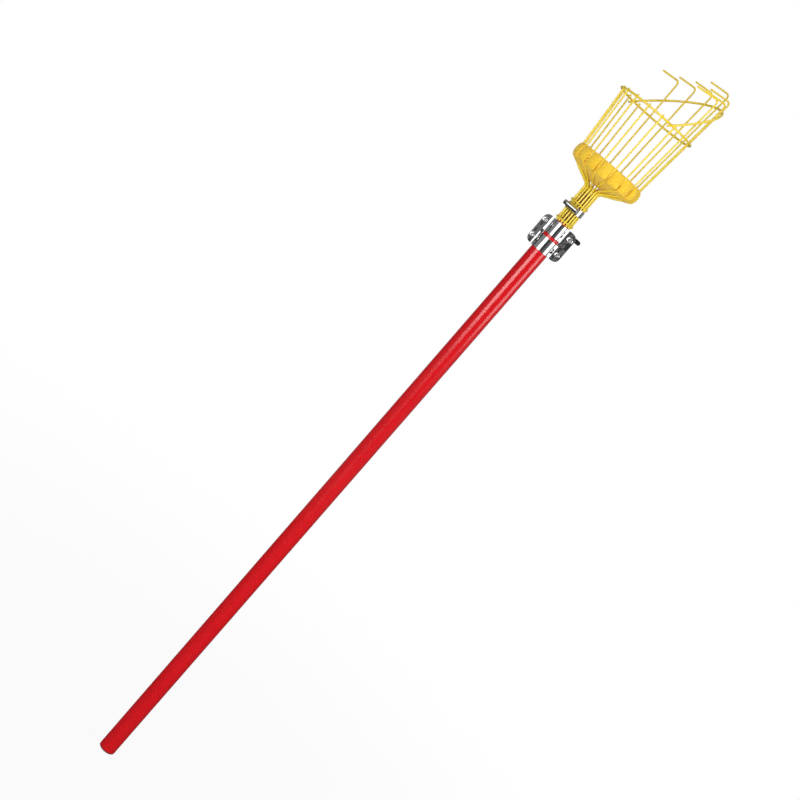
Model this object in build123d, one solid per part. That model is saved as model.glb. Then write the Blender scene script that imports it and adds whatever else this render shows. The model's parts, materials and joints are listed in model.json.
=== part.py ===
from build123d import *
import os
from math import acos, cos, radians, sin, sqrt, tan

# Telescopic fruit picker: a two-stage pole, a bolted tube clamp and a wire basket.
# Millimetres. +Z runs up the pole, and the origin is the centre of the pole's lower end.
# The clamp's flanges lie along X, and its bolts run along Y with their heads at -Y.
# The pole is modelled closed, with the inner tube at the bottom of its travel.

# Clearances
slide_gap = 0.05  # radial gap of a piece that slides or turns in another
seat_gap = 0.02  # radial gap of a piece that is held fast in another
face_gap = 0.3  # gap between the faces of pieces that move past each other
weld_gap = 0.1  # gap between wires at a weld, and between wires and what grips them
foam_gap = 0.4  # gap between the foam and the wires that press into it

# Pole tubes
outer_tube_d = 32.0
outer_tube_wall = 1.0
outer_tube_length = 1209.0
inner_tube_d = 25.0
inner_tube_wall = 0.8
inner_tube_setback = 13.0  # the inner tube ends this far below the neck's top
inner_foot_rise = 90.0  # from the end cap's plug up to the foot of the closed inner pole

# End cap of the outer tube
cap_flange = 3.0
cap_edge_r = 1.4
cap_plug_length = 18.0
cap_plug_wall = 2.0

# Bush in the top of the outer tube, and guide ring at the inner tube's foot
bush_length = 40.0
bush_flange = 1.5
guide_ring_length = 12.0
guide_ring_play = 0.15  # gap at each end of the guide ring
journal_step = 0.7  # the ring's journal is this much smaller in radius than the bore
foot_flange = 3.0
foot_spigot = 22.0
plug_flange = 2.0
plug_spigot = 14.0

# Tube clamp
clamp_sheet = 1.6
lower_strap = 25.0
strap_slot = 6.0
upper_strap = 26.0
lower_fillet = 5.0
upper_fillet = 10.0
left_flange = 14.8  # the left flange runs this far past the lower strap
right_flange = 17.4
flange_gap = 2.0
flange_corner_r = 10.0
slot_overrun = 4.4  # how far the front slot runs past the lower strap at each side

# Clamp fasteners
bolt_d = 6.0
bolt_hole_gap = 0.2
bolt_reach = 9.3  # from the lower strap's side to a bolt's centre
bolt_margin = 12.5  # from a bolt's centre to the flange's top or bottom edge
bolt_head_d = 10.6
lever_bolt_head_d = 12.2
bolt_head_height = 3.6
bolt_head_dome = 2.2
bolt_socket = 4.0
bolt_socket_depth = 2.0
washer_d = 11.0
washer_height = 1.2
nut_width = 10.0
nut_height = 5.0
bolt_overrun = 2.0

# Lever nut
lever_hub_d = 14.0
lever_height = 9.0
lever_reach = 17.6  # from the bolt's centre to the tip of the arm
lever_rise = 5.7  # from the bolt's centre up to the arm's centre line
lever_arm = 7.6
lever_edge_r = 1.2

# Basket wires
rib_count = 16
rib_wire = 3.2
rim_wire = 3.8
hoop_wire = 3.8
neck_ring_wire = 2.2
wire_end_round = 0.35  # rounding of a wire's end, as a share of its diameter
basket_turn = 28.5  # from +X to the middle finger, about +Z

# Basket neck, from the wire ends up
neck_foot_gap = 1.0
neck_length = 74.2
neck_bend_r = 8.0
lower_ring_rise = 5.0
hose_clamp_rise = 30.2
upper_ring_rise = 41.5

# Basket bowl and wall
bowl_slope = 25.0
bowl_radius = 59.5
bowl_bend_r = 34.0
wall_flare = 4.6
rim_height = 154.2  # from the neck's top to the rim
rib_nub = 3.0  # a plain rib's end stands this far above the rim ring

# Picking fingers, counted about +Z: heights of their bends above the rim
finger_heights = [78.0, 84.0, 94.0, 106.0, 93.0, 83.0, 74.0]
finger_bend_r = 6.0
finger_tip = 44.0
finger_droop = 8.0
finger_fan = 0.18  # the tips' directions spread by this share of the fingers' angles

# Guard hoop
hoop_rise = 78.0  # height of its top above the rim
hoop_end_angle = 97.0  # from the middle finger to where it passes the rim
hoop_nub = 6.0  # depth of its ends below the rim
hoop_arcs = 4  # arcs on each side

# Hose clamp
hose_band_width = 11.4
hose_band_sheet = 0.7
hose_turn = -21.0  # about +Z, from the front to the screw
hose_tail_angle = 62.0
hose_slot_count = 9
hose_slot_width = 1.3
hose_slot_height = 6.5
hose_screw_d = 7.6
hose_barrel_wall = 1.2
hose_barrel_length = 20.0
hose_barrel_shift = 2.0
hose_saddle_length = 15.0
hose_skirt = 0.9
hose_shoulder = 0.6  # the housing's sides slope from here to the barrel
hose_head_width = 8.0
hose_head_length = 6.0
hose_head_turn = 30.0  # about the screw, which brings a corner of the head to the front
hose_collar = 1.2
hose_tip = 1.6
driver_slot_width = 1.3
driver_slot_depth = 2.2

# Foam cushion: heights above the neck's top
foam_bottom = 8.0
foam_foot_r = 22.0
foam_edge = 22.5
foam_top = 48.0
foam_dish = 3.5
foam_r = 64.5
foam_edge_r = 4.0

# Radii that follow from the tubes
outer_r = outer_tube_d / 2
outer_bore_r = outer_r - outer_tube_wall
inner_r = inner_tube_d / 2
inner_bore_r = inner_r - inner_tube_wall

# Heights that follow, from the pole's end up
outer_tube_top = cap_flange + outer_tube_length
slot_top = outer_tube_top + bush_flange + face_gap
slot_bottom = slot_top - strap_slot
clamp_bottom = slot_bottom - lower_strap
clamp_top = slot_top + upper_strap
clamp_height = clamp_top - clamp_bottom
neck_foot = clamp_top + neck_foot_gap
neck_top = neck_foot + neck_length
lower_ring_z = neck_foot + lower_ring_rise
hose_z = neck_foot + hose_clamp_rise
upper_ring_z = neck_foot + upper_ring_rise
inner_tube_top = neck_top - inner_tube_setback
foot_bottom = cap_flange + cap_plug_length + inner_foot_rise
guide_ring_bottom = foot_bottom + foot_flange + guide_ring_play
inner_tube_bottom = guide_ring_bottom + guide_ring_length + guide_ring_play

# Clamp layout
lower_bore_r = outer_r + seat_gap
upper_bore_r = inner_r + slide_gap
flange_face = flange_gap / 2
flange_back = flange_face + clamp_sheet
strap_side = lower_bore_r + clamp_sheet
clamp_left = -strap_side - left_flange
clamp_right = strap_side + right_flange
clamp_width = clamp_right - clamp_left
clamp_middle = (clamp_left + clamp_right) / 2
front_slot_half = strap_side + slot_overrun
back_slot_half = outer_r + face_gap
bolt_x = strap_side + bolt_reach
lower_bolt_z = clamp_bottom + bolt_margin
upper_bolt_z = clamp_top - bolt_margin
lever_seat = flange_back + washer_height + face_gap

# Basket layout
rib_pitch = 360 / rib_count
finger_count = len(finger_heights)
finger_middle = finger_count // 2
neck_r = inner_r + weld_gap + rib_wire / 2
rim_z = neck_top + rim_height
bowl_z = neck_top + (bowl_radius - neck_r) * tan(radians(bowl_slope))
wall_slope = tan(radians(wall_flare))
neck_ring_r = neck_r + rib_wire / 2 + weld_gap + neck_ring_wire / 2


def wall_r(z):
    """Radius of a rib's centre line on the straight wall, at height z."""
    return bowl_radius + (z - bowl_z) * wall_slope


def outside_rib(z, wire):
    """Radius at which a wire of this diameter passes the ribs' outer side, at height z."""
    return wall_r(z) + (rib_wire / 2 + weld_gap + wire / 2) / cos(radians(wall_flare))


rim_ring_r = outside_rib(rim_z, rim_wire)


def tube(outer, inner, bottom, top):
    """A round tube about the Z axis."""
    wall = Circle(outer) - Circle(inner)
    return Pos(0, 0, bottom) * extrude(wall, amount=top - bottom)


def disc(radius, bottom, top):
    """A round bar about the Z axis."""
    return Pos(0, 0, bottom) * extrude(Circle(radius), amount=top - bottom)


def make_end_cap():
    """Cap of the lower end: a flange as wide as the tube, and a hollow plug in its bore."""
    flange = disc(outer_r, 0, cap_flange)
    flange = fillet(flange.edges().group_by(Axis.Z)[0], cap_edge_r)
    plug_r = outer_bore_r - seat_gap
    plug = tube(plug_r, plug_r - cap_plug_wall, cap_flange, cap_flange + cap_plug_length)
    return flange + plug


def make_guide_bush():
    """Bush in the top of the outer tube, with a flange on the tube's end."""
    bore_r = inner_r + slide_gap
    sleeve = tube(outer_bore_r - seat_gap, bore_r, outer_tube_top - bush_length, outer_tube_top)
    flange = tube(outer_r, bore_r, outer_tube_top, outer_tube_top + bush_flange)
    return sleeve + flange


def make_guide_ring():
    """Ring that turns on the inner pole's foot and slides in the outer tube."""
    journal_r = inner_bore_r - journal_step
    ring_top = guide_ring_bottom + guide_ring_length
    return tube(outer_bore_r - slide_gap, journal_r + slide_gap, guide_ring_bottom, ring_top)


def make_bottom_plug():
    """Plug of the inner tube's foot: a flange, the guide ring's journal, and a spigot."""
    flange_top = foot_bottom + foot_flange
    flange = disc(outer_bore_r - face_gap, foot_bottom, flange_top)
    journal = disc(inner_bore_r - journal_step, flange_top, inner_tube_bottom)
    spigot = disc(inner_bore_r - seat_gap, inner_tube_bottom, inner_tube_bottom + foot_spigot)
    return flange + journal + spigot


def make_top_plug():
    """Plug that closes the top of the inner tube."""
    flange = disc(inner_r, inner_tube_top, inner_tube_top + plug_flange)
    spigot = disc(inner_bore_r - seat_gap, inner_tube_top - plug_spigot, inner_tube_top)
    return flange + spigot


def strap_section(bore_r, root_r):
    """Section of a strap of the front shell, with its two flanges and the fillets at their roots."""
    outside_r = bore_r + clamp_sheet
    depth = 2 * outside_r
    front_half = Pos(clamp_middle, -flange_face - depth / 2) * Rectangle(clamp_width, depth)
    strip = Pos(clamp_middle, -flange_face - clamp_sheet / 2) * Rectangle(clamp_width, clamp_sheet)
    section = ((Circle(outside_r) + strip) - Circle(bore_r)) & front_half
    root_x = sqrt(outside_r**2 - flange_back**2)
    mouth_x = sqrt(bore_r**2 - flange_face**2)
    roots = [v for v in section.vertices() if is_at(v, root_x, flange_back)]
    section = fillet(roots, root_r)
    mouth = [v for v in section.vertices() if is_at(v, mouth_x, flange_face)]
    return fillet(mouth, root_r + clamp_sheet)


def is_at(vertex, x, y):
    """Whether a vertex lies at this distance from both axes."""
    tolerance = 1e-4
    return abs(abs(vertex.X) - x) < tolerance and abs(abs(vertex.Y) - y) < tolerance


def across(shape, x, y, z):
    """Puts a shape made along +Z at a point, turned to run along +Y."""
    return Pos(x, y, z) * Rot(-90, 0, 0) * shape


def bolt_places():
    """The four bolts' X and Z, with the lever's bolt last."""
    return [
        (-bolt_x, lower_bolt_z),
        (bolt_x, lower_bolt_z),
        (-bolt_x, upper_bolt_z),
        (bolt_x, upper_bolt_z),
    ]


def make_clamp_shell(slot_half):
    """Front shell: two straps on a pair of flanges, with a slot of this half width between them."""
    lower = extrude(strap_section(lower_bore_r, lower_fillet), amount=lower_strap)
    upper = extrude(strap_section(upper_bore_r, upper_fillet), amount=upper_strap)
    shell = Pos(0, 0, clamp_bottom) * lower + Pos(0, 0, slot_top) * upper
    bridge_y = -(flange_face + clamp_sheet / 2)
    bridge_z = slot_bottom + strap_slot / 2
    for left, right in ((clamp_left, -slot_half), (slot_half, clamp_right)):
        bridge = Box(right - left, clamp_sheet, strap_slot)
        shell += Pos((left + right) / 2, bridge_y, bridge_z) * bridge
    middle_z = clamp_bottom + clamp_height / 2
    outline = RectangleRounded(clamp_width, clamp_height, flange_corner_r)
    depth = 2 * strap_side
    shell &= extrude(Plane.XZ * Pos(clamp_middle, middle_z) * outline, amount=depth, both=True)
    hole = Cylinder(bolt_d / 2 + bolt_hole_gap, depth)
    for x, z in bolt_places():
        shell -= across(hole, x, 0, z)
    return shell


def make_bolt(head_d, grip):
    """A domed bolt with a hexagon socket, whose shank runs up from its head by this much."""
    head = disc(head_d / 2, -bolt_head_height, 0)
    head = fillet(head.edges().group_by(Axis.Z)[0], bolt_head_dome)
    socket = extrude(RegularPolygon(bolt_socket / 2, 6, major_radius=False), amount=bolt_socket_depth)
    head -= Pos(0, 0, -bolt_head_height) * socket
    return head + disc(bolt_d / 2, 0, grip)


def make_bolts():
    """The four bolts, the last one long enough for the lever nut."""
    nut_grip = 2 * flange_back + washer_height + nut_height + bolt_overrun
    lever_grip = flange_back + lever_seat + lever_height + bolt_overrun
    bolts = []
    for x, z in bolt_places()[:-1]:
        bolts.append(across(make_bolt(bolt_head_d, nut_grip), x, -flange_back, z))
    x, z = bolt_places()[-1]
    bolts.append(across(make_bolt(lever_bolt_head_d, lever_grip), x, -flange_back, z))
    return bolts


def make_washers():
    """A washer on each bolt, behind the back flange."""
    washer = tube(washer_d / 2, bolt_d / 2 + seat_gap, 0, washer_height)
    return [across(washer, x, flange_back, z) for x, z in bolt_places()]


def make_nuts():
    """Hexagon nuts on the three bolts that have no lever."""
    outline = RegularPolygon(nut_width / 2, 6, major_radius=False)
    nut = extrude(outline - Circle(bolt_d / 2 + seat_gap), amount=nut_height)
    seat = flange_back + washer_height
    return [across(nut, x, seat, z) for x, z in bolt_places()[:-1]]


def make_lever():
    """Lever nut on the upper right bolt, with an arm that points to the right."""
    arm_r = lever_arm / 2
    arm_root = Pos(lever_hub_d / 2 - arm_r, -lever_rise) * Circle(arm_r)
    arm_tip = Pos(lever_reach - arm_r, -lever_rise) * Circle(arm_r)
    web = make_hull(Circle(lever_hub_d / 2).edges() + arm_root.edges())
    arm = make_hull(arm_root.edges() + arm_tip.edges())
    lever = extrude(web + arm, amount=lever_height)
    rims = lever.edges().group_by(Axis.Z)
    lever = fillet(rims[0] + rims[-1], lever_edge_r)
    lever -= Cylinder(bolt_d / 2 + slide_gap, 3 * lever_height)
    x, z = bolt_places()[-1]
    return across(lever, x, lever_seat, z)


def bent_wire(points, radii, diameter):
    """A round wire along straight runs joined by arcs, with rounded ends."""
    path = FilletPolyline(*points, radius=radii)
    wire = sweep(Plane(origin=path @ 0, z_dir=path % 0) * Circle(diameter / 2), path=path)
    return round_ends(wire, diameter)


def round_ends(wire, diameter):
    """Rounds the two flat ends of a wire."""
    ends = wire.faces().filter_by(GeomType.PLANE).edges()
    return fillet(ends, diameter * wire_end_round)


def make_plain_rib(angle):
    """A rib from the neck through the bowl to just above the rim."""
    top = rim_z + rim_wire / 2 + rib_nub
    points = [
        (neck_r, 0, neck_foot),
        (neck_r, 0, neck_top),
        (bowl_radius, 0, bowl_z),
        (wall_r(top), 0, top),
    ]
    return Rot(0, 0, angle) * bent_wire(points, [neck_bend_r, bowl_bend_r], rib_wire)


def make_finger_rib(angle, height, fan):
    """A rib that runs on past the rim and bends in, its tip turned by fan from the radius."""
    bend_z = rim_z + height
    bend_r = wall_r(bend_z)
    reach = finger_tip * cos(radians(finger_droop))
    drop = finger_tip * sin(radians(finger_droop))
    points = [
        (neck_r, 0, neck_foot),
        (neck_r, 0, neck_top),
        (bowl_radius, 0, bowl_z),
        (bend_r, 0, bend_z),
        (bend_r - reach * cos(radians(fan)), -reach * sin(radians(fan)), bend_z - drop),
    ]
    radii = [neck_bend_r, bowl_bend_r, finger_bend_r]
    return Rot(0, 0, angle) * bent_wire(points, radii, rib_wire)


def hoop_ellipse(slope, top_u, end_u, end_v):
    """Centre and radii, in plan, of the ellipse that the guard hoop follows.

    In plan, u runs along the middle finger's direction and v across it. The ellipse goes through
    the hoop's top at the middle finger, an outer finger on the way down, and the end at the rim:
    a u^2 + b v^2 + c u = 1 there.
    """
    outer_angle = radians(2 * rib_pitch)
    touch_z = rim_z + slope * (wall_r(rim_z + hoop_rise) * cos(outer_angle) - end_u)
    touch_r = outside_rib(touch_z, hoop_wire) + weld_gap
    touch_u = touch_r * cos(outer_angle)
    touch_v = touch_r * sin(outer_angle)
    end_row = (end_u**2 - top_u * end_u, end_v**2, 1 - end_u / top_u)
    touch_row = (touch_u**2 - top_u * touch_u, touch_v**2, 1 - touch_u / top_u)
    base = end_row[0] * touch_row[1] - touch_row[0] * end_row[1]
    a = (end_row[2] * touch_row[1] - touch_row[2] * end_row[1]) / base
    b = (end_row[0] * touch_row[2] - touch_row[0] * end_row[2]) / base
    c = (1 - a * top_u**2) / top_u
    spread = 1 + c**2 / (4 * a)
    return -c / (2 * a), sqrt(spread / a), sqrt(spread / b)


def smooth_arcs(points, heading):
    """Arcs through these points, each tangent to the one before it, from a first heading."""
    arcs = Curve()
    for start, end in zip(points, points[1:]):
        arc = TangentArc(start, end, tangent=heading)
        heading = arc % 1
        arcs += arc
    return arcs


def make_guard_hoop():
    """Tilted hoop outside the fingers, from its top at the middle finger down past the rim."""
    top_u = outside_rib(rim_z + hoop_rise, hoop_wire)
    end_r = rim_ring_r + rim_wire / 2 + weld_gap + hoop_wire / 2
    end_u = end_r * cos(radians(hoop_end_angle))
    end_v = end_r * sin(radians(hoop_end_angle))
    slope = hoop_rise / (top_u - end_u)
    centre_u, radius_u, radius_v = hoop_ellipse(slope, top_u, end_u, end_v)
    length_u = radius_u * sqrt(1 + slope**2)
    plane = Plane(
        origin=(centre_u, 0, rim_z + slope * (centre_u - end_u)),
        x_dir=(1, 0, slope),
        z_dir=(-slope, 0, 1),
    )
    last_u = end_u - hoop_nub / slope
    half_turn = acos((last_u - centre_u) / radius_u)
    turns = [half_turn * index / hoop_arcs for index in range(hoop_arcs + 1)]
    points = [(length_u * cos(turn), radius_v * sin(turn)) for turn in turns]
    side = smooth_arcs(points, (0, 1))
    path = plane * Wire((side + mirror(side, about=Plane.XZ)).edges())
    section = Plane(origin=path @ 0, z_dir=path % 0) * Circle(hoop_wire / 2)
    hoop = round_ends(sweep(section, path=path), hoop_wire)
    return Rot(0, 0, basket_turn) * hoop


def make_wire_ring(radius, wire, z):
    """A closed wire ring about the pole's axis."""
    return Pos(0, 0, z) * Torus(radius, wire / 2)


# Hose clamp layout, with the screw in front of the pole and along X
band_inner_r = neck_r + rib_wire / 2 + weld_gap
band_outer_r = band_inner_r + hose_band_sheet
tail_r = band_outer_r + hose_band_sheet
screw_r = hose_screw_d / 2
screw_y = -(tail_r + face_gap + screw_r)
barrel_left = hose_barrel_shift - hose_barrel_length / 2
barrel_right = hose_barrel_shift + hose_barrel_length / 2


def on_hose_clamp(shape):
    """Puts a shape made for a screw in front of the pole in the clamp's place on the neck."""
    return Pos(0, 0, hose_z) * Rot(0, 0, hose_turn) * shape


def along_screw(radius, left, right):
    """A round bar along the screw's axis."""
    bar = extrude(Circle(radius), amount=right - left)
    return Pos(left, screw_y, 0) * Rot(0, 90, 0) * bar


def make_hose_band():
    """Band round the neck, with a slotted tail that overlaps it under the screw."""
    half = hose_band_width / 2
    band = tube(band_outer_r, band_inner_r, -half, half)
    tail_ring = tube(tail_r, band_outer_r, -half, half)
    front = -90.0
    tail_start = front - hose_tail_angle / 4
    wedge_reach = 2 * tail_r
    corner = (wedge_reach, wedge_reach * tan(radians(hose_tail_angle / 2)))
    wedge = make_face(Polyline((0, 0), corner, (corner[0], -corner[1]), close=True))
    tail_middle = tail_start + hose_tail_angle / 2
    wedge = extrude(Rot(0, 0, tail_middle) * wedge, amount=half, both=True)
    band += tail_ring & wedge
    slot = Box(2 * hose_band_sheet, hose_slot_width, hose_slot_height)
    slot_pitch = hose_tail_angle / (hose_slot_count + 1)
    for index in range(hose_slot_count):
        angle = tail_start + (index + 1) * slot_pitch
        band -= Rot(0, 0, angle) * Pos(tail_r, 0, 0) * slot
    return on_hose_clamp(band)


def make_hose_housing():
    """Housing of the screw: a barrel on a sloped saddle whose skirts hold the band's edges."""
    channel_half = hose_band_width / 2 + weld_gap
    skirt_half = channel_half + hose_skirt
    screw_bore_r = screw_r + slide_gap
    shoulder_y = -(tail_r + weld_gap + hose_shoulder)
    side = [(screw_y, screw_bore_r), (shoulder_y, skirt_half), (-band_outer_r, skirt_half)]
    other_side = [(y, -z) for y, z in reversed(side)]
    section = Plane.YZ * make_face(Polyline(*side, *other_side, close=True))
    saddle = extrude(section, amount=hose_saddle_length / 2, both=True)
    barrel = along_screw(screw_bore_r + hose_barrel_wall, barrel_left, barrel_right)
    housing = Pos(hose_barrel_shift, 0, 0) * saddle + barrel
    housing -= disc(tail_r + weld_gap, -channel_half, channel_half)
    housing -= disc(band_outer_r, -skirt_half, skirt_half)
    housing -= along_screw(screw_bore_r, 2 * barrel_left, 2 * barrel_right)
    return on_hose_clamp(housing)


def make_hose_screw():
    """Worm screw with a collar and a slotted hexagon head at its left end."""
    collar_left = barrel_left - face_gap - hose_collar
    head_left = collar_left - hose_head_length
    worm = along_screw(screw_r, collar_left, barrel_right + hose_tip)
    collar = along_screw(screw_r + hose_barrel_wall, collar_left, collar_left + hose_collar)
    outline = RegularPolygon(hose_head_width / 2, 6, major_radius=False, rotation=hose_head_turn)
    head = extrude(outline, amount=hose_head_length)
    head = Pos(head_left, screw_y, 0) * Rot(0, 90, 0) * head
    slot = Box(2 * driver_slot_depth, driver_slot_width, 2 * hose_head_width)
    screw = worm + collar + head - Pos(head_left, screw_y, 0) * slot
    return on_hose_clamp(screw)


def make_foam_cushion():
    """Foam pad in the bowl: a dished, round-edged pad with a channel for each rib."""
    bottom = neck_top + foam_bottom
    edge = neck_top + foam_edge
    top = neck_top + foam_top
    outline = FilletPolyline(
        (0, 0, bottom),
        (foam_foot_r, 0, bottom),
        (foam_r, 0, edge),
        (foam_r, 0, top),
        (0, 0, top - foam_dish),
        radius=[foam_edge_r, foam_edge_r, foam_edge_r],
    )
    axis_line = Line((0, 0, top - foam_dish), (0, 0, bottom))
    pad = revolve(make_face(outline + axis_line), axis=Axis.Z)
    return pad - [Rot(0, 0, angle) * rib_channel() for angle in rib_angles()]


def rib_channel():
    """The space that a rib takes in the foam: everything outside the rib's inner side."""
    room = rib_wire / 2 + foam_gap
    slope = radians(bowl_slope)
    flare = radians(wall_flare)
    floor_rise = room / cos(slope)
    wall_shift = room / cos(flare)
    far_r = 2 * foam_r
    low = neck_top - foam_top
    high = neck_top + 2 * foam_top
    corner_gain = (wall_shift + floor_rise * tan(flare)) / (1 - tan(slope) * tan(flare))
    corner_r = bowl_radius - corner_gain
    corner_z = neck_top + (corner_r - neck_r) * tan(slope) + floor_rise
    start_z = corner_z - corner_r * tan(slope)
    outline = FilletPolyline(
        (0, 0, start_z),
        (corner_r, 0, corner_z),
        (corner_r + (high - corner_z) * tan(flare), 0, high),
        (far_r, 0, high),
        (far_r, 0, low),
        (0, 0, low),
        radius=[bowl_bend_r - room, 0, 0, 0],
    )
    closing = Line((0, 0, low), (0, 0, start_z))
    return extrude(make_face(outline + closing), amount=room, both=True)


def rib_angles():
    """Angles of all the ribs about +Z, starting at the first finger."""
    first = basket_turn - finger_middle * rib_pitch
    return [first + index * rib_pitch for index in range(rib_count)]


def save(name, shapes):
    """Writes one sub-part, a single solid or a group of equal ones."""
    group = shapes if isinstance(shapes, list) else [shapes]
    solids = [solid for shape in group for solid in shape.solids()]
    piece = solids[0] if len(solids) == 1 else Compound(children=solids)
    export_step(piece, f"parts/{name}.step")


def main():
    os.makedirs("parts", exist_ok=True)

    save("outer_tube", tube(outer_r, outer_bore_r, cap_flange, outer_tube_top))
    save("pole_end_cap", make_end_cap())
    save("guide_bush", make_guide_bush())

    save("clamp_front_shell", make_clamp_shell(front_slot_half))
    save("clamp_back_shell", mirror(make_clamp_shell(back_slot_half), about=Plane.XZ))
    save("clamp_bolts", make_bolts())
    save("clamp_washers", make_washers())
    save("clamp_nuts", make_nuts())
    save("clamp_lever", make_lever())

    save("inner_guide_ring", make_guide_ring())
    save("inner_tube", tube(inner_r, inner_bore_r, inner_tube_bottom, inner_tube_top))
    save("inner_bottom_plug", make_bottom_plug())
    save("inner_top_plug", make_top_plug())

    for index, angle in enumerate(rib_angles()):
        if index < finger_count:
            fan = (finger_fan - 1) * (index - finger_middle) * rib_pitch
            finger = make_finger_rib(angle, finger_heights[index], fan)
            save(f"finger_rib_{index + 1}", finger)
        else:
            save(f"plain_rib_{index - finger_count + 1}", make_plain_rib(angle))

    save("rim_ring", make_wire_ring(rim_ring_r, rim_wire, rim_z))
    save("guard_hoop", make_guard_hoop())
    save("neck_lower_ring", make_wire_ring(neck_ring_r, neck_ring_wire, lower_ring_z))
    save("neck_upper_ring", make_wire_ring(neck_ring_r, neck_ring_wire, upper_ring_z))

    save("hose_clamp_band", make_hose_band())
    save("hose_clamp_housing", make_hose_housing())
    save("hose_clamp_screw", make_hose_screw())

    save("foam_cushion", make_foam_cushion())


main()
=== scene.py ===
from bisect import bisect
import json
from math import atan2, cos, pi, radians, sin
import random
from typing import NamedTuple

import bmesh
import bpy
from mathutils import Matrix, Vector, noise
from mathutils.bvhtree import BVHTree


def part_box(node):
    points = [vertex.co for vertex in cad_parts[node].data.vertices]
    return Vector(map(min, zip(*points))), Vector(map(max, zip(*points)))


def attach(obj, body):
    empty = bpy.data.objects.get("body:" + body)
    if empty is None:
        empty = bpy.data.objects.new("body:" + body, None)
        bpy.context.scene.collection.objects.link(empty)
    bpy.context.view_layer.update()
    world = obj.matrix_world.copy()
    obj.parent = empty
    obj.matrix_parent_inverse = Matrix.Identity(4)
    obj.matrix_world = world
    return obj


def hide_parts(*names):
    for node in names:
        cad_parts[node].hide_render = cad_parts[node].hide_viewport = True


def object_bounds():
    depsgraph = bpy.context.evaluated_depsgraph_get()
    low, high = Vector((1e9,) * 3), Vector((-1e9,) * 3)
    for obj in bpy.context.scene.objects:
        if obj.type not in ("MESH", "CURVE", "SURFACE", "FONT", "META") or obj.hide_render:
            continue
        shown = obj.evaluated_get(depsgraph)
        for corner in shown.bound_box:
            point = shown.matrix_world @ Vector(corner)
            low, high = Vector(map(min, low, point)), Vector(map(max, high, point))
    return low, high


# A telescopic fruit picker: the CAD pieces with their finishes, a soft foam pad and the welds
# of the wire basket, on a white stage. Metres, in the CAD frame, with +Z up the pole.

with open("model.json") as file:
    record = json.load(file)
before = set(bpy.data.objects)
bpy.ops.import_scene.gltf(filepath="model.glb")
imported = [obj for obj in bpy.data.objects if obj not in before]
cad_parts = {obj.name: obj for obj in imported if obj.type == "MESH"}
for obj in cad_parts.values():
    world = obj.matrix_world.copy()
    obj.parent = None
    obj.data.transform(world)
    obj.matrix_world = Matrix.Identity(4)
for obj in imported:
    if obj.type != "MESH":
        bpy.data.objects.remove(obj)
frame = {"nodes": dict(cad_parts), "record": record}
cad_low, cad_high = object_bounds()
NODES = frame["nodes"]
RECORD = frame["record"]

MM = 0.001
SEED = 7
WHITE = (1.0, 1.0, 1.0, 1.0)

# Pieces of the basket, by their CAD names
FINGER_NAMES = sorted(name for name in NODES if name.startswith("finger_rib_"))
RIB_NAMES = sorted(name for name in NODES if name.startswith("plain_rib_")) + FINGER_NAMES
RING_NAMES = ["rim_ring", "neck_lower_ring", "neck_upper_ring"]

# The camera, at the photograph's place: the pole leans in the picture because the camera rolls
IMAGE_SIZE = 800
FOCUS_PIXELS = 1435.0
SENSOR_WIDTH = 36.0
CAMERA_TARGET = Vector((-12.4, 0.0, 837.0)) * MM
CAMERA_DISTANCE = 2451.0 * MM
CAMERA_ELEVATION = radians(10.1)
CAMERA_ROLL = radians(40.95)

# The floor, which is white where it is seen, and keeps a faint shadow near the pole's foot
FLOOR_HALF = 40.0
FLOOR_COLOUR = (0.55, 0.55, 0.55, 1.0)
FLOOR_FADE = (0.3, 1.8)  # distances from the pole's foot
FLOOR_WHITE_SHARES = (0.93, 1.0)  # at those distances


class Softbox(NamedTuple):
    """A rectangular lamp that faces the pole."""

    azimuth: float  # in degrees about the pole, from the camera's side to its right
    height: float
    size: tuple
    radiance: float
    rays: tuple  # what it does: lights dull surfaces, shows in glossy ones, or both
    distance: float = 2.6
    drop: float = 0.0  # how far below itself it aims


# The lights
FILL_LIGHT = 0.06
SOFTBOXES = {
    "front_softbox": Softbox(-14.0, 1.05, (1.74, 2.00), 5.0, ("diffuse",)),
    "left_softbox": Softbox(-26.5, 1.59, (1.74, 1.72), 7.0, ("glossy",)),
    "right_softbox": Softbox(68.5, 1.59, (1.64, 1.72), 4.4, ("diffuse", "glossy")),
    "back_softbox": Softbox(-155.0, 1.10, (1.60, 2.20), 3.4, ("diffuse",)),
    "top_softbox": Softbox(
        0.0, 3.6, (2.0, 2.0), 2.2, ("diffuse", "glossy"), distance=0.0, drop=3.6
    ),
}
METAL_SLOTS = ("chrome", "stainless")
METAL_RADIANCE = 1.8  # bright metal reflects dimmer softboxes, so that they don't spread

# Grey cards about the object, seen only in its reflections
CARD_RADIUS = 3.6
CARD_TOP = 3.4
CARD_LIFT = 1.0 * MM
CARD_HOLE = 17.0 * MM  # radius of the hole for the pole
CARD_STRIP = 4.0  # degrees
GROUND_EDGE = 2.0  # radius at which the ground turns lighter
CEILING = 3.7
HALF_TURN = 180.0
WALL_CARDS = [  # start and end, in degrees, and grey
    (-HALF_TURN, -172.0, 0.22),
    (-172.0, -150.0, 0.04),
    (-150.0, -116.0, 0.26),
    (-116.0, -94.0, 0.012),
    (-94.0, -45.0, 0.23),
    (-45.0, -8.0, 0.065),
    (-8.0, -3.5, 0.06),
    (-3.5, -0.2, 0.17),
    (-0.2, 1.4, 0.04),
    (1.4, 3.2, 0.15),
    (3.2, 8.0, 0.02),
    (8.0, 22.0, 0.06),
    (22.0, 38.0, 0.13),
    (38.0, 86.0, 0.20),
    (86.0, 130.0, 0.24),
    (130.0, 150.0, 0.34),
    (150.0, 172.0, 0.04),
    (172.0, HALF_TURN, 0.16),
]
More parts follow.
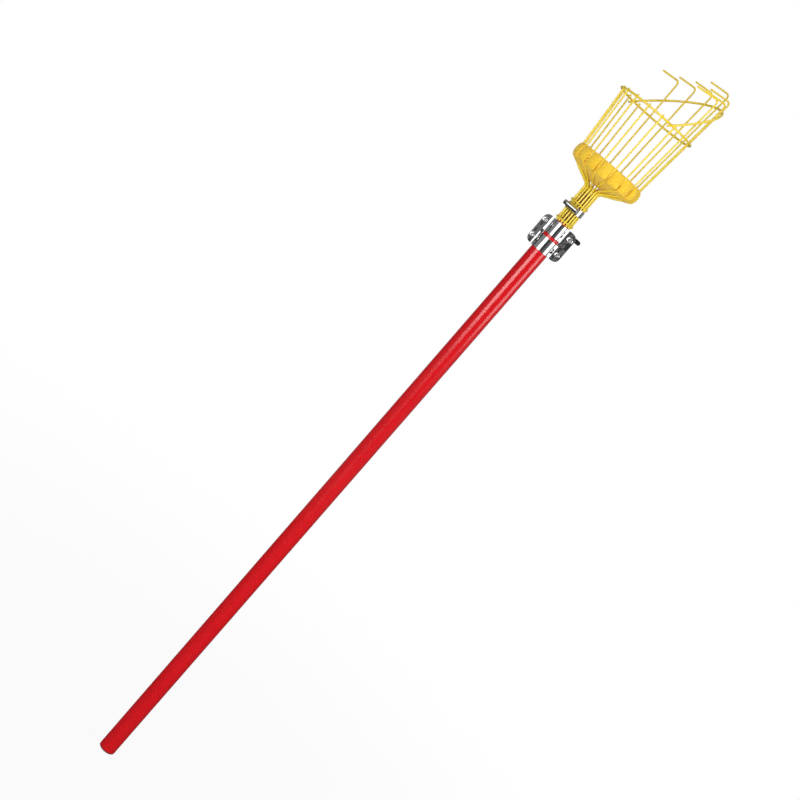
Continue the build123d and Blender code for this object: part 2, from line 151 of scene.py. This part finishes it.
FLAT_CARDS = [  # height, inner and outer radius, and grey
    (CARD_LIFT, CARD_HOLE, GROUND_EDGE, 0.06),
    (CARD_LIFT, GROUND_EDGE, CARD_RADIUS, 0.18),
    (CEILING, CARD_HOLE, CARD_RADIUS, 0.22),
]

# The finishes
BEVEL_SAMPLES = 6
NOISE_SPREAD = (0.3, 0.7)  # the range in which most of a noise's values lie
# height over which the painted shade under the neck's wires fades in
NECK_SHADE_FADE = 3.0 * MM
FOOT_DARK_HEIGHTS = (1.8 * MM, 3.0 * MM)  # heights between which the darkening at the bottom edge fades out
BACK_SHADE_DEPTH = (-45.0 * MM, 35.0 * MM)  # from the basket's front to its back, over which the wires' painted shade grows

# The wires of the basket
ROW_WINDOW = 0.6 * MM
RUN_MARGIN = 1.0 * MM
RUN_STEPS = 400
RING_STEPS = 720

# The foam pad
FOAM_VOXEL = 1.5 * MM
FOAM_SMOOTHING = 0.5
FOAM_SMOOTHING_ROUNDS = 8
FOAM_SWELL = 0.25 * MM
FOAM_LUMP_HEIGHT = 0.35 * MM
FOAM_LUMPS_PER_METRE = 70.0
FOAM_PUFF = 2.6 * MM  # how far the pad swells out between two wires
FOAM_HOLD = 2.6 * MM  # from a wire's centre line, where the wire holds the pad back
FACES_OUT = 0.9  # share of a normal that makes its face part of the pad's side or underside
FACES_UP = 0.5  # share of a normal that makes its face part of the pad's top

# The welds
WELD_REACH = 2.3 * MM
WELD_DEPTH = 1.15 * MM
WELD_SIZES = (0.9, 1.1)
WELD_SUBDIVISIONS = 3
WELD_LUMPS = 2.0  # in a weld's radius
WELD_ROUGHNESS = 0.16
WELD_GAP_LIMIT = 0.6 * MM


def link(thing):
    """Puts a new object in the scene."""
    bpy.context.scene.collection.objects.link(thing)
    return thing


def mesh_from(made, name):
    """Turns finished geometry into a mesh."""
    mesh = bpy.data.meshes.new(name)
    made.to_mesh(mesh)
    made.free()
    return mesh


def around(radius, azimuth, z):
    """A point about the pole, by its azimuth in degrees from the camera's side."""
    turn = radians(azimuth)
    return Vector((radius * sin(turn), -radius * cos(turn), z))


def srgb(red, green, blue):
    """A colour as a picture writes it, from 0 to 255, in linear light."""
    parts = []
    for value in (red, green, blue):
        share = value / 255
        parts.append(share / 12.92 if share <= 0.04045 else ((share + 0.055) / 1.055) ** 2.4)
    return (*parts, 1.0)


class Tree:
    """The nodes of a world or a material."""

    def __init__(self, owner):
        owner.use_nodes = True
        self.nodes = owner.node_tree.nodes
        self.links = owner.node_tree.links

    def put(self, socket, value):
        """Gives a socket its value: a number, a colour, or the output of another node."""
        if isinstance(value, bpy.types.NodeSocket):
            self.links.new(value, socket)
        else:
            socket.default_value = value

    def fill(self, node, sockets):
        """Gives a node's sockets their values, by name with underscores for spaces."""
        for name, value in sockets.items():
            self.put(node.inputs[name.replace("_", " ")], value)

    def node(self, kind, **sockets):
        """Adds a node of this kind, with values for its sockets."""
        node = self.nodes.new("ShaderNode" + kind)
        self.fill(node, sockets)
        return node

    def join(self, operation, first, second):
        """Joins two values by arithmetic."""
        node = self.node("Math")
        node.operation = operation
        self.put(node.inputs[0], first)
        self.put(node.inputs[1], second)
        return node.outputs[0]

    def add(self, first, second):
        """The sum of two values."""
        return self.join("ADD", first, second)

    def multiply(self, first, second):
        """The product of two values."""
        return self.join("MULTIPLY", first, second)

    def between(self, value, old, new=(0.0, 1.0), interpolation="LINEAR"):
        """Stretches the part of a value in the old range over the new one."""
        ends = {"From_Min": old[0], "From_Max": old[1], "To_Min": new[0], "To_Max": new[1]}
        node = self.node("MapRange", Value=value, **ends)
        node.interpolation_type = interpolation
        return node.outputs["Result"]

    def scaled(self, value, most):
        """A value from 0 to 1, scaled to go up to this most."""
        return self.between(value, (0.0, 1.0), (0.0, most))


class Backdrop(Tree):
    """The nodes of the world, the floor or a card, from an empty tree."""

    def __init__(self, owner):
        super().__init__(owner)
        self.nodes.clear()

    def seen_directly(self):
        """1 for rays that show the background as it is, and 0 for light."""
        path = self.node("LightPath")
        seen = path.outputs["Is Camera Ray"]
        for name in ("Is Glossy Ray", "Is Transmission Ray"):
            seen = self.join("MAXIMUM", seen, path.outputs[name])
        return seen

    def end_in_mix(self, output, share, first, second):
        """Ends the tree in a mix of two shaders, the second one where the share is 1."""
        mix = self.node("MixShader", Fac=share)
        for socket, shader in zip(mix.inputs[1:], (first, second)):
            self.put(socket, shader.outputs[0])
        self.node(output, Surface=mix.outputs[0])


class Finish(Tree):
    """A material of the object, with patterns that follow the CAD frame."""

    def __init__(self, name):
        self.material = bpy.data.materials.new(name)
        super().__init__(self.material)
        self.shader = self.nodes["Principled BSDF"]
        self.place = self.node("TexCoord").outputs["Object"]

    def along(self, axis):
        """The place along an axis of the CAD frame, in metres."""
        return self.node("SeparateXYZ", Vector=self.place).outputs[axis]

    def grain(self, scale, detail=2.0, stretch=(1.0, 1.0, 1.0)):
        """Soft noise from 0 to 1, with this many lumps in a metre."""
        mapping = self.node("Mapping", Vector=self.place, Scale=stretch)
        texture = self.node("TexNoise", Vector=mapping.outputs[0], Scale=scale, Detail=detail)
        return texture.outputs["Fac"]

    def cells(self, scale):
        """Distance to the nearest of many scattered points, for pores."""
        return self.node("TexVoronoi", Vector=self.place, Scale=scale).outputs["Distance"]

    def blend(self, share, first, second):
        """Mixes two colours, the second one where the share is 1."""
        node = self.node("Mix", Factor=share)
        node.data_type = "RGBA"
        colours = [socket for socket in node.inputs if socket.type == "RGBA"]
        for socket, colour in zip(colours, (first, second)):
            self.put(socket, colour)
        return next(socket for socket in node.outputs if socket.type == "RGBA")

    def rounded(self, radius):
        """Normals as if the edges were rounded."""
        node = self.node("Bevel", Radius=radius)
        node.samples = BEVEL_SAMPLES
        return node.outputs["Normal"]

    def relief(self, height, strength, depth, normal=None):
        """Normals of a surface with this relief."""
        node = self.node("Bump", Height=height, Strength=strength, Distance=depth)
        if normal is not None:
            self.put(node.inputs["Normal"], normal)
        return node.outputs["Normal"]

    def done(self, **sockets):
        """Gives the shader its values and patterns, and returns the material."""
        self.fill(self.shader, sockets)
        return self.material


def make_camera():
    """The scene's camera, at the photograph's place and roll."""
    data = bpy.data.cameras.new("camera")
    data.sensor_fit = "HORIZONTAL"
    data.sensor_width = SENSOR_WIDTH
    data.lens = SENSOR_WIDTH * FOCUS_PIXELS / IMAGE_SIZE
    camera = link(bpy.data.objects.new("camera", data))
    right = Vector((1, 0, 0))
    up = Vector((0, sin(CAMERA_ELEVATION), cos(CAMERA_ELEVATION)))
    back = Vector((0, -cos(CAMERA_ELEVATION), sin(CAMERA_ELEVATION)))
    across = right * cos(CAMERA_ROLL) + up * sin(CAMERA_ROLL)
    upward = up * cos(CAMERA_ROLL) - right * sin(CAMERA_ROLL)
    turn = Matrix((across, upward, back)).transposed().to_4x4()
    camera.matrix_world = Matrix.Translation(CAMERA_TARGET + back * CAMERA_DISTANCE) @ turn
    bpy.context.scene.camera = camera


def make_world():
    """White where it is seen, and a soft fill light elsewhere."""
    world = bpy.data.worlds.new("studio")
    bpy.context.scene.world = world
    tree = Backdrop(world)
    fill = tree.node("Background", Color=WHITE, Strength=FILL_LIGHT)
    white = tree.node("Background", Color=WHITE, Strength=1.0)
    tree.end_in_mix("OutputWorld", tree.seen_directly(), fill, white)


def make_floor():
    """A plain white floor under the pole, which keeps a soft shadow."""
    mesh = bpy.data.meshes.new("floor")
    half = FLOOR_HALF
    corners = [(-half, -half, 0.0), (half, -half, 0.0), (half, half, 0.0), (-half, half, 0.0)]
    mesh.from_pydata(corners, [], [(0, 1, 2, 3)])
    floor = link(bpy.data.objects.new("floor", mesh))
    material = bpy.data.materials.new("floor")
    tree = Backdrop(material)
    paint = tree.node("BsdfDiffuse", Color=FLOOR_COLOUR)
    white = tree.node("Emission", Strength=1.0)
    distance = tree.node("VectorMath")
    distance.operation = "LENGTH"
    tree.put(distance.inputs[0], tree.node("NewGeometry").outputs["Position"])
    share = tree.between(
        distance.outputs["Value"], FLOOR_FADE, FLOOR_WHITE_SHARES, interpolation="SMOOTHSTEP"
    )
    share = tree.multiply(tree.seen_directly(), share)
    tree.end_in_mix("OutputMaterial", share, paint, white)
    mesh.materials.append(material)


def light_receivers(name, things, state):
    """A group that links a lamp to these things alone, or to all but these."""
    group = bpy.data.collections.new(name)
    for thing in things:
        group.objects.link(thing)
    for entry in group.collection_objects:
        entry.light_linking.link_state = state
    return group


def make_lamp(name, box, radiance, receivers):
    """A softbox of this radiance that lights these receivers."""
    width, height = box.size
    data = bpy.data.lights.new(name, "AREA")
    data.shape = "RECTANGLE"
    data.size, data.size_y = width, height
    data.energy = radiance * pi * width * height
    lamp = link(bpy.data.objects.new(name, data))
    place = around(box.distance, box.azimuth, box.height)
    aim = Vector((0.0, 0.0, box.height - box.drop))
    lamp.location = place
    lamp.rotation_mode = "QUATERNION"
    lamp.rotation_quaternion = (aim - place).to_track_quat("-Z", "Y")
    lamp.visible_camera = False
    lamp.visible_diffuse = "diffuse" in box.rays
    lamp.visible_glossy = "glossy" in box.rays
    lamp.light_linking.receiver_collection = receivers


def make_lamps():
    """Softboxes about the object and one above it, with dimmer ones for the bright metal."""
    parts = RECORD["subparts"]
    metal = [NODES[part["node"]] for part in parts if part["material_slot"] in METAL_SLOTS]
    all_but_metal = light_receivers("all_but_metal", metal, "EXCLUDE")
    metal_alone = light_receivers("metal_alone", metal, "INCLUDE")
    for name, box in SOFTBOXES.items():
        make_lamp(name, box, box.radiance, all_but_metal)
        if "glossy" in box.rays:
            make_lamp(f"metal_{name}", box, METAL_RADIANCE, metal_alone)


def grey_card(grey):
    """A card's material: an even grey, whatever light falls on it."""
    material = bpy.data.materials.new("card")
    tree = Backdrop(material)
    glow = tree.node("Emission", Color=(grey, grey, grey, 1.0))
    tree.node("OutputMaterial", Surface=glow.outputs[0])
    return material


def add_card(made, start, end, first, second, index):
    """Adds a card between two rings about the pole, each given by its radius and height."""
    steps = max(1, round((end - start) / CARD_STRIP))
    turns = [start + (end - start) * step / steps for step in range(steps + 1)]
    for left, right in zip(turns, turns[1:]):
        corners = [(first, left), (first, right), (second, right), (second, left)]
        points = [around(radius, turn, z) for (radius, z), turn in corners]
        strip = made.faces.new([made.verts.new(point) for point in points])
        strip.material_index = index


def make_cards():
    """Grey cards about, under and above the object, seen only in its reflections."""
    made = bmesh.new()
    foot, head = (CARD_RADIUS, CARD_LIFT), (CARD_RADIUS, CARD_TOP)
    for index, (start, end, _) in enumerate(WALL_CARDS):
        add_card(made, start, end, foot, head, index)
    for index, (z, near, far, _) in enumerate(FLAT_CARDS, len(WALL_CARDS)):
        add_card(made, -HALF_TURN, HALF_TURN, (far, z), (near, z), index)
    mesh = mesh_from(made, "cards")
    for *_, grey in WALL_CARDS + FLAT_CARDS:
        mesh.materials.append(grey_card(grey))
    cards = link(bpy.data.objects.new("cards", mesh))
    cards.visible_camera = False
    cards.visible_diffuse = False
    cards.visible_transmission = False
    cards.visible_shadow = False


def with_painted_neck_shade(finish, colour):
    """A colour with streaky painted shade on what is under the wires of the basket's neck.

    It comes with the painted shade's mask itself, from 0 to 1.
    """
    neck_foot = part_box(RIB_NAMES[0])[0].z
    streaks = finish.grain(300.0, detail=3.0, stretch=(1.0, 1.0, 0.2))
    # painted shade: the tube is darkened just above the neck's foot, where the wires shade it
    neck_shade = finish.between(finish.along("Z"), (neck_foot, neck_foot + NECK_SHADE_FADE))
    neck_shade = finish.multiply(neck_shade, finish.between(streaks, (0.25, 0.75), (0.75, 1.0)))
    return finish.blend(neck_shade, colour, srgb(36, 3, 4)), neck_shade


def red_powder_coat():
    """Red powder coat on the tubes, with its orange peel and fine rub marks along the pole.

    Under the wires of the basket's neck, the inner tube is painted dark, as painted shade between
    the wires.
    """
    finish = Finish("red_powder_coat")
    clouds = finish.grain(9.0, detail=3.0)
    colour = finish.blend(clouds, srgb(204, 16, 24), srgb(216, 22, 31))
    speckle = finish.between(finish.grain(1900.0), (0.62, 0.8))
    colour = finish.blend(speckle, colour, srgb(220, 40, 45))
    rubs = finish.between(finish.grain(420.0, detail=3.0, stretch=(1.0, 1.0, 0.012)), (0.6, 0.78))
    patches = finish.between(finish.grain(6.0, detail=4.0), (0.5, 0.75))
    worn = finish.multiply(rubs, patches)
    colour = finish.blend(finish.scaled(worn, 0.35), colour, srgb(226, 70, 72))
    # painted shade under the neck's wires, which also makes the coat rougher there
    colour, neck_shade = with_painted_neck_shade(finish, colour)
    roughness = finish.between(clouds, NOISE_SPREAD, (0.13, 0.18))
    roughness = finish.add(roughness, finish.scaled(worn, 0.16))
    peel = finish.relief(finish.grain(620.0), strength=0.03, depth=0.18 * MM)
    return finish.done(
        Base_Color=colour,
        Roughness=finish.add(roughness, finish.scaled(neck_shade, 0.6)),
        Normal=finish.relief(worn, strength=0.10, depth=0.04 * MM, normal=peel),
        IOR=1.47,
    )


def red_plastic():
    """Red moulded plastic with a fine satin grain, darker towards its bottom edge, and with
    painted shade in the basket's neck.
    """
    finish = Finish("red_plastic")
    clouds = finish.grain(60.0, detail=3.0)
    colour = finish.blend(clouds, srgb(178, 14, 20), srgb(196, 20, 27))
    # darker towards the bottom edge
    foot_dark = finish.between(finish.along("Z"), FOOT_DARK_HEIGHTS, (1.0, 0.0))
    colour = finish.blend(foot_dark, colour, srgb(66, 10, 12))
    # painted shade under the neck's wires
    colour, _ = with_painted_neck_shade(finish, colour)
    edges = finish.rounded(0.4 * MM)
    return finish.done(
        Base_Color=colour,
        Roughness=finish.between(clouds, NOISE_SPREAD, (0.34, 0.46)),
        Normal=finish.relief(finish.grain(2600.0), strength=0.18, depth=0.06 * MM, normal=edges),
        IOR=1.5,
    )


def white_nylon():
    """Natural nylon, a little yellow and cloudy."""
    finish = Finish("white_nylon")
    clouds = finish.grain(90.0, detail=3.0)
    return finish.done(
        Base_Color=finish.blend(clouds, srgb(214, 205, 186), srgb(230, 224, 210)),
        Roughness=finish.between(clouds, NOISE_SPREAD, (0.35, 0.5)),
        Normal=finish.relief(finish.grain(1800.0), strength=0.15, depth=0.06 * MM),
        IOR=1.53,
    )


def chrome():
    """Bright plate on pressed sheet: nearly a mirror, a little wavy, with hairline scratches."""
    finish = Finish("chrome")
    haze = finish.grain(300.0, detail=4.0)
    waves = finish.grain(70.0, detail=1.0)
    scratches = finish.between(finish.grain(1300.0, stretch=(0.03, 0.03, 1.0)), (0.64, 0.8))
    roughness = finish.between(haze, (0.35, 0.75), (0.02, 0.05))
    edges = finish.rounded(0.5 * MM)
    wavy = finish.relief(waves, strength=0.5, depth=0.7 * MM, normal=edges)
    return finish.done(
        Base_Color=finish.blend(haze, srgb(226, 228, 231), srgb(240, 241, 243)),
        Roughness=finish.add(roughness, finish.scaled(scratches, 0.08)),
        Normal=finish.relief(scratches, strength=0.06, depth=0.02 * MM, normal=wavy),
        Metallic=1.0,
    )


def zinc_plate():
    """Zinc on the bolts, nuts and washers: soft gloss, with faint blue and straw tints."""
    finish = Finish("zinc_plate")
    tints = finish.grain(110.0, detail=3.0)
    haze = finish.grain(700.0, detail=4.0)
    edges = finish.rounded(0.35 * MM)
    return finish.done(
        Base_Color=finish.blend(tints, srgb(206, 211, 217), srgb(224, 221, 213)),
        Roughness=finish.between(haze, (0.3, 0.75), (0.14, 0.30)),
        Normal=finish.relief(haze, strength=0.12, depth=0.06 * MM, normal=edges),
        Metallic=1.0,
    )


def stainless():
    """Rolled stainless strip, with its fine lines round the band."""
    finish = Finish("stainless")
    lines = finish.grain(2400.0, detail=3.0, stretch=(0.05, 0.05, 1.0))
    haze = finish.grain(260.0, detail=3.0)
    roughness = finish.between(haze, NOISE_SPREAD, (0.05, 0.09))
    edges = finish.rounded(0.3 * MM)
    return finish.done(
        Base_Color=finish.blend(haze, srgb(206, 205, 203), srgb(228, 227, 224)),
        Roughness=finish.add(roughness, finish.between(lines, (0.4, 0.7), (0.0, 0.04))),
        Normal=finish.relief(lines, strength=0.10, depth=0.04 * MM, normal=edges),
        Metallic=1.0,
    )


def black_plastic():
    """Black moulded plastic with a spark-eroded grain."""
    finish = Finish("black_plastic")
    clouds = finish.grain(120.0, detail=3.0)
    grain = finish.grain(3400.0, detail=3.0)
    edges = finish.rounded(0.4 * MM)
    return finish.done(
        Base_Color=finish.blend(clouds, srgb(3, 3, 4), srgb(7, 7, 8)),
        Roughness=finish.between(grain, NOISE_SPREAD, (0.42, 0.6)),
        Normal=finish.relief(grain, strength=0.28, depth=0.06 * MM, normal=edges),
        Specular_IOR_Level=0.2,
    )


def yellow_dip_coat():
    """Yellow plastic dip on the wires: glossy, uneven in thickness, scuffed in places.

    Up to the fingers' tips and towards the back it is painted darker, as painted shade.
    """
    finish = Finish("yellow_dip_coat")
    clouds = finish.grain(45.0, detail=3.0)
    tints = finish.between(clouds, NOISE_SPREAD)
    colour = finish.blend(tints, srgb(241, 210, 50), srgb(249, 223, 74))
    worn = finish.between(finish.grain(240.0, detail=5.0), (0.66, 0.80))
    colour = finish.blend(finish.scaled(worn, 0.2), colour, srgb(248, 231, 134))
    foam_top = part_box("foam_cushion")[1].z
    # painted shade: the wires high up and at the back of the basket are painted a darker yellow
    upward = finish.between(finish.along("Z"), (foam_top, cad_high.z), (0.2, 1.0))
    backward = finish.between(finish.along("Y"), BACK_SHADE_DEPTH, (0.0, 0.75))
    painted_back_shade = finish.multiply(upward, backward)
    roughness = finish.between(clouds, NOISE_SPREAD, (0.26, 0.36))
    return finish.done(
        Base_Color=finish.blend(painted_back_shade, colour, srgb(204, 178, 30)),
        Roughness=finish.add(roughness, finish.scaled(worn, 0.2)),
        Normal=finish.relief(finish.grain(260.0), strength=0.12, depth=0.4 * MM),
        IOR=1.5,
    )


def yellow_foam():
    """Open-cell foam: dull, with fine pores painted darker as painted shade, and a slightly patchy
    yellow.
    """
    finish = Finish("yellow_foam")
    patches = finish.between(finish.grain(38.0, detail=4.0), NOISE_SPREAD)
    colour = finish.blend(patches, srgb(246, 198, 44), srgb(253, 212, 64))
    pore_relief_and_shade = finish.between(finish.cells(900.0), (0.05, 0.32))
    fine = finish.grain(2400.0)
    pores = finish.relief(pore_relief_and_shade, strength=0.35, depth=0.4 * MM)
    return finish.done(
        # painted shade: the pores' centres are painted a darker yellow
        Base_Color=finish.blend(pore_relief_and_shade, srgb(214, 160, 26), colour),
        Roughness=finish.between(fine, NOISE_SPREAD, (0.85, 0.97)),
        Normal=finish.relief(fine, strength=0.25, depth=0.2 * MM, normal=pores),
        Specular_IOR_Level=0.25,
        Sheen_Weight=0.12,
        Sheen_Roughness=0.6,
    )


def make_finishes():
    """The materials, by the record's slot names."""
    return {
        "red_steel": red_powder_coat(),
        "red_plastic": red_plastic(),
        "nylon": white_nylon(),
        "chrome": chrome(),
        "steel": zinc_plate(),
        "stainless": stainless(),
        "black_plastic": black_plastic(),
        "yellow_wire": yellow_dip_coat(),
        "foam": yellow_foam(),
    }


def dress_nodes(finishes):
    """Gives each CAD node its slot's finish."""
    for entry in RECORD["subparts"]:
        slots = NODES[entry["node"]].data.materials
        slots.clear()
        slots.append(finishes[entry["material_slot"]])


def row_centre(points):
    """The middle of a ring of points."""
    return sum(points, Vector()) / len(points)


def straight_run(node, z):
    """Points along the straight run of a wire past this height, on its centre line."""
    points = [vertex.co for vertex in NODES[node].data.vertices]
    below = [point for point in points if point.z < z - RUN_MARGIN]
    above = [point for point in points if point.z > z + RUN_MARGIN]
    top_of_below = max(point.z for point in below)
    foot_of_above = min(point.z for point in above)
    start = row_centre([point for point in below if point.z > top_of_below - ROW_WINDOW])
    end = row_centre([point for point in above if point.z < foot_of_above + ROW_WINDOW])
    return [start.lerp(end, step / RUN_STEPS) for step in range(RUN_STEPS + 1)]


def ring_height(node):
    """Height of a wire ring's centre line."""
    low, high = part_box(node)
    return (low.z + high.z) / 2


def half_ring(node, start):
    """Points on the centre line of half a wire ring, from this angle on, and its wire's radius."""
    low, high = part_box(node)
    wire_radius = (high.z - low.z) / 2
    radius = (high.x - low.x) / 2 - wire_radius
    z = (low.z + high.z) / 2
    turns = [start + pi * step / RING_STEPS for step in range(RING_STEPS + 1)]
    return [Vector((radius * cos(turn), radius * sin(turn), z)) for turn in turns], wire_radius


def rib_turns():
    """Azimuths of the ribs about the pole, in order."""
    z = ring_height("rim_ring")
    places = [straight_run(rib, z)[0] for rib in RIB_NAMES]
    return sorted(atan2(place.y, place.x) for place in places)


def between_wires(turns, point):
    """0 beside a wire and 1 midway between two of them, at this point on the pad."""
    turn = atan2(point.y, point.x)
    radius = point.xy.length
    place = bisect(turns, turn)
    before = turns[place - 1] - (2 * pi if place == 0 else 0.0)
    after = turns[place] if place < len(turns) else turns[0] + 2 * pi
    room = radius * (after - before) / 2 - FOAM_HOLD
    free = radius * min(turn - before, after - turn) - FOAM_HOLD
    if room <= 0.0 or free <= 0.0:
        return 0.0
    return 1.0 - (1.0 - free / room) ** 2


def arch(value, low, high):
    """0 at the ends of a range and beyond, and 1 in its middle."""
    share = min(max((value - low) / (high - low), 0.0), 1.0)
    return 4.0 * share * (1.0 - share)


def puff_foam(mesh, normals):
    """Swells the pad's side and underside between the wires, as squeezed foam does."""
    turns = rib_turns()
    radii = [vertex.co.xy.length for vertex in mesh.vertices]
    widest = max(radii)
    outward = [  # the share of each normal that points away from the pole
        vertex.co.xy.dot(normal.xy) / radius if radius > 0.0 else 0.0
        for vertex, normal, radius in zip(mesh.vertices, normals, radii)
    ]
    side = [vertex.co.z for vertex, out in zip(mesh.vertices, outward) if out > FACES_OUT]
    under = [radius for radius, normal in zip(radii, normals) if normal.z < -FACES_OUT]
    side_ends, under_ends = (min(side), max(side)), (min(under), max(under))
    for vertex, normal, radius, out in zip(mesh.vertices, normals, radii, outward):
        if normal.z > FACES_UP:
            continue
        along = arch(vertex.co.z, *side_ends) if out > -normal.z else arch(radius, *under_ends)
        share = along * between_wires(turns, vertex.co) * radius / widest
        vertex.co += normal * FOAM_PUFF * share


def make_foam(finish):
    """The pad in the bowl, grown from its CAD solid: remeshed, softened, puffed and uneven."""
    node = NODES["foam_cushion"]
    foam = link(bpy.data.objects.new("foam_pad", node.data.copy()))
    foam.data.materials.clear()
    foam.data.materials.append(finish)
    remesh = foam.modifiers.new("remesh", "REMESH")
    remesh.mode = "VOXEL"
    remesh.voxel_size = FOAM_VOXEL
    smooth = foam.modifiers.new("smooth", "SMOOTH")
    smooth.factor = FOAM_SMOOTHING
    smooth.iterations = FOAM_SMOOTHING_ROUNDS
    depsgraph = bpy.context.evaluated_depsgraph_get()
    mesh = bpy.data.meshes.new_from_object(foam.evaluated_get(depsgraph))
    foam.modifiers.clear()
    foam.data = mesh
    normals = [vertex.normal.copy() for vertex in mesh.vertices]
    puff_foam(mesh, normals)
    for vertex, normal in zip(mesh.vertices, normals):
        lump = noise.noise(vertex.co * FOAM_LUMPS_PER_METRE)
        vertex.co += normal * (FOAM_SWELL + FOAM_LUMP_HEIGHT * lump)
    mesh.shade_smooth()
    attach(foam, "inner_pole")
    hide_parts("foam_cushion")


def surface(node):
    """A search tree of a CAD node's surface."""
    mesh = NODES[node].data
    mesh.calc_loop_triangles()
    corners = [vertex.co for vertex in mesh.vertices]
    triangles = [tuple(triangle.vertices) for triangle in mesh.loop_triangles]
    return BVHTree.FromPolygons(corners, triangles)


def weld_spot(made, place, away, along, rng):
    """Adds one weld: a flat bead between two crossing wires."""
    along = (along - away * along.dot(away)).normalized()
    across = away.cross(along)
    turn = Matrix((along, across, away)).transposed().to_4x4()
    reach = WELD_REACH * rng.uniform(*WELD_SIZES)
    stretch = Matrix.Diagonal((reach, reach, WELD_DEPTH, 1.0))
    ball = bmesh.ops.create_icosphere(made, subdivisions=WELD_SUBDIVISIONS, radius=1.0)
    for vertex in ball["verts"]:
        lump = noise.noise(vertex.co * WELD_LUMPS + Vector((rng.random(), 0.0, 0.0)))
        vertex.co *= 1.0 + WELD_ROUGHNESS * lump
    matrix = Matrix.Translation(place) @ turn @ stretch
    bmesh.ops.transform(made, matrix=matrix, verts=ball["verts"])


def weld_wires(made, points, wire_radius, other, rng):
    """Welds a wire, given by its centre line, to another where they touch."""
    nearest = min(points, key=lambda point: other.find_nearest(point)[3])
    touch, _, _, distance = other.find_nearest(nearest)
    gap = distance - wire_radius
    if gap < WELD_GAP_LIMIT:
        away = (touch - nearest).normalized()
        middle = nearest + away * (wire_radius + gap / 2)
        weld_spot(made, middle, away, points[-1] - points[0], rng)


def make_welds(finish):
    """The welds of the basket: ribs to rings, fingers to the hoop, and the hoop to the rim."""
    rng = random.Random(SEED)
    made = bmesh.new()
    foot = straight_run(RIB_NAMES[0], ring_height("neck_upper_ring"))[0]
    rib_radius = foot.xy.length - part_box("inner_tube")[1].x
    for ring in RING_NAMES:
        tree = surface(ring)
        z = ring_height(ring)
        for rib in RIB_NAMES:
            weld_wires(made, straight_run(rib, z), rib_radius, tree, rng)
    hoop = surface("guard_hoop")
    rim_z = ring_height("rim_ring")
    for finger in FINGER_NAMES:
        weld_wires(made, straight_run(finger, rim_z), rib_radius, hoop, rng)
    top = max(NODES["guard_hoop"].data.vertices, key=lambda vertex: vertex.co.z).co
    facing = atan2(top.y, top.x)
    for start in (facing, facing + pi):
        points, rim_radius = half_ring("rim_ring", start)
        weld_wires(made, points, rim_radius, hoop, rng)
    mesh = mesh_from(made, "basket_welds")
    mesh.materials.append(finish)
    mesh.shade_smooth()
    welds = link(bpy.data.objects.new("basket_welds", mesh))
    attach(welds, "inner_pole")


def main():
    """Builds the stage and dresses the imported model."""
    bpy.context.scene.view_settings.view_transform = "Standard"
    make_camera()
    make_world()
    make_floor()
    make_lamps()
    make_cards()
    finishes = make_finishes()
    dress_nodes(finishes)
    make_foam(finishes["foam"])
    make_welds(finishes["yellow_wire"])


main()
